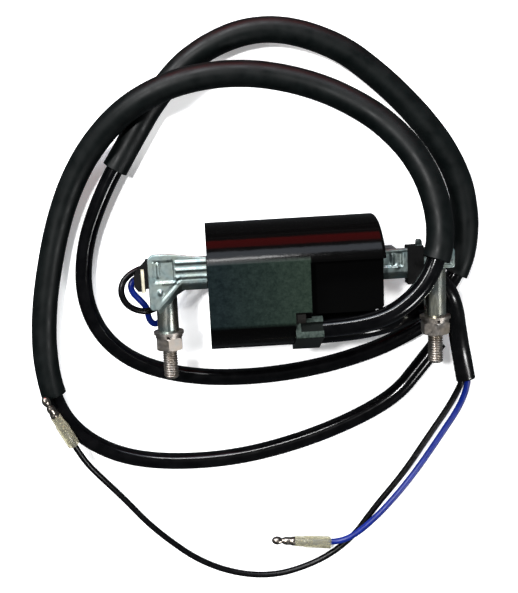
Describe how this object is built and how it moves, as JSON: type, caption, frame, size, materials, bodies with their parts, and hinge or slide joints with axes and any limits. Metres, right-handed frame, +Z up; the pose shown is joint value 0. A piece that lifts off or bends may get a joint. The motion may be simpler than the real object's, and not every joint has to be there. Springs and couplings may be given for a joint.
{
  "type": "ignition coil",
  "caption": "Twin-lead ignition coil: potted black case, laminated core, two bolt-on bracket arms, plug leads in sleeves and two low-tension wires.",
  "frame": {"origin": "on the surface the coil lies on, under the middle of the rigid object without its leads and wires", "axes": "+X along the case's axis from the open potted end to the moulded end, +Z up from the surface, and the mounting bolts point along -Y"},
  "size_m": [0.1883, 0.2428, 0.0461],
  "materials": {
    "moulded_black": "glossy moulded thermoset",
    "retainer_black": "satin moulded plastic",
    "potting": "cast resin",
    "laminated_steel": "varnished electrical steel",
    "bobbin": "moulded nylon",
    "enamelled_copper": "enamelled copper wire",
    "zinc_steel": "zinc plated, slightly yellow and blue",
    "lead_jacket": "glossy extruded jacket",
    "sleeve_black": "matte sleeve",
    "conductor": "stranded copper",
    "blue_insulation": "soft PVC",
    "black_insulation": "soft PVC",
    "clear_sleeve": "clear PVC",
    "plated_terminal": "tin plated brass",
    "cream_board": "pressed insulating board"
  },
  "bodies": {
    "root": {"case_shell": "moulded_black", "potting_compound": "potting", "core_laminations": "laminated_steel", "primary_bobbin": "bobbin", "secondary_bobbin": "bobbin", "primary_winding": "enamelled_copper", "secondary_winding": "enamelled_copper", "lead_retainer": "retainer_black", "ht_terminal_a": "plated_terminal", "ht_terminal_b": "plated_terminal", "ht_link_a": "conductor", "ht_link_b": "conductor", "left_bracket": "zinc_steel", "right_bracket": "zinc_steel", "right_arm_band": "sleeve_black", "wire_block": "sleeve_black", "insulator_strip": "cream_board", "ht_lead_a": "lead_jacket", "ht_lead_b": "lead_jacket", "ht_conductor_a": "conductor", "ht_conductor_b": "conductor", "lead_sleeve_a": "sleeve_black", "lead_sleeve_b": "sleeve_black", "blue_wire": "blue_insulation", "black_wire": "black_insulation", "wire_sheath": "sleeve_black", "bullet_blue": "plated_terminal", "bullet_black": "plated_terminal", "bullet_sleeve_blue": "clear_sleeve", "bullet_sleeve_black": "clear_sleeve", "left_bolt": "zinc_steel", "left_spacer": "zinc_steel", "left_washer": "zinc_steel", "left_spring_washer": "zinc_steel", "left_nut": "zinc_steel", "right_bolt": "zinc_steel", "right_spacer": "zinc_steel", "right_washer": "zinc_steel", "right_spring_washer": "zinc_steel", "right_nut": "zinc_steel"}
  },
  "joints": []
}
